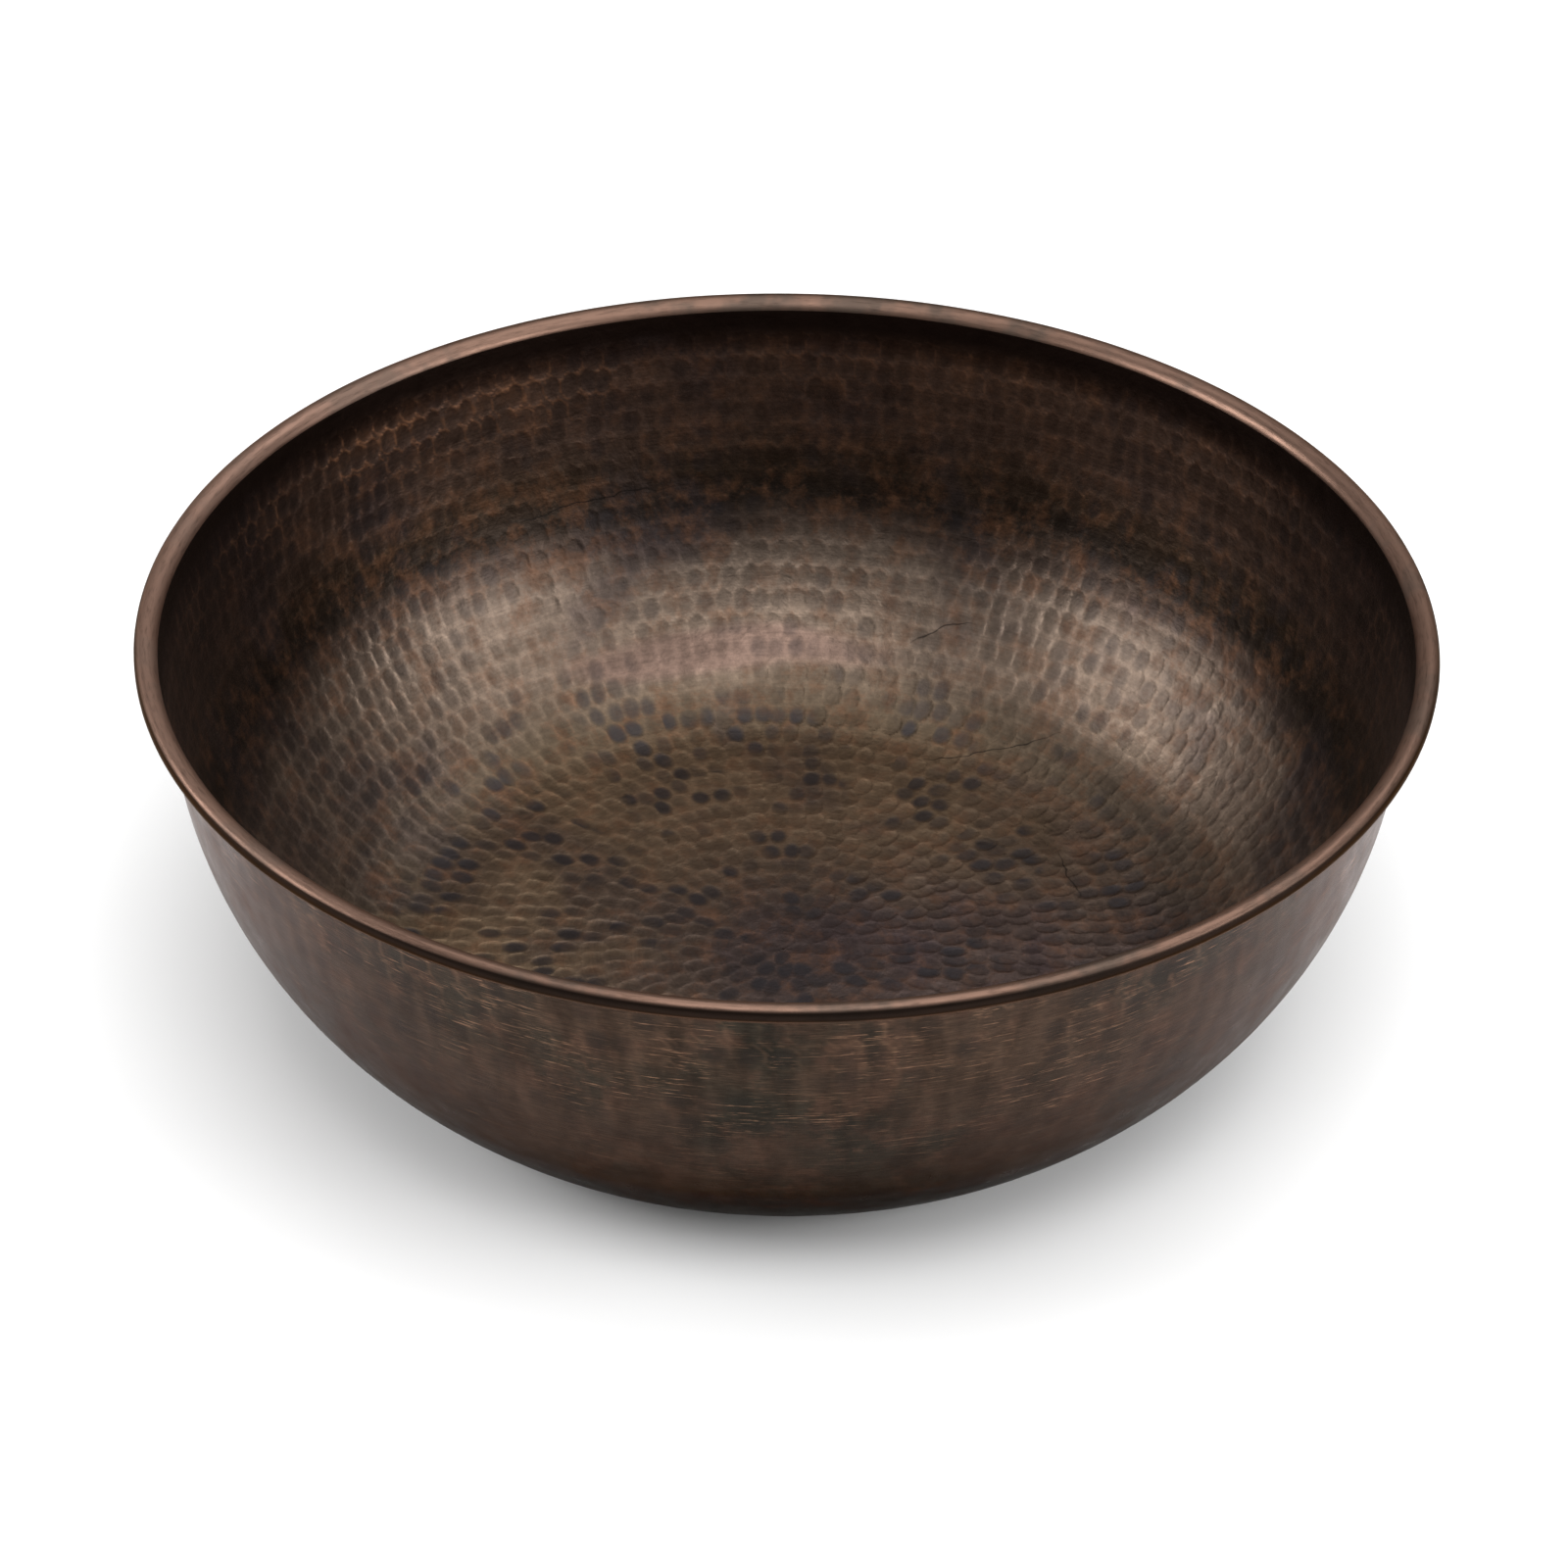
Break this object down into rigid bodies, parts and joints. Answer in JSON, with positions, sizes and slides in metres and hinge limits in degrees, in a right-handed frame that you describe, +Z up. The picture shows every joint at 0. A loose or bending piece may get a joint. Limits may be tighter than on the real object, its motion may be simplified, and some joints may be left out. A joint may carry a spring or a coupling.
{
  "type": "hammered copper bowl",
  "caption": "Wide round hammered copper bowl with a flat floor, a steep curved wall and an edge rolled outwards over a wire.",
  "frame": {"origin": "middle of the flat resting face", "axes": "+Z up along the bowl's axis of symmetry, +X to the right and +Y away as the bowl is seen from the front; the wire's cut is at +Y"},
  "size_m": [0.4569, 0.457, 0.152],
  "materials": {
    "copper": "dark oxidised copper, hand hammered and waxed",
    "wire": "plain drawn iron wire"
  },
  "bodies": {
    "root": {"bowl_shell": "copper", "rim_wire": "wire"}
  },
  "joints": []
}
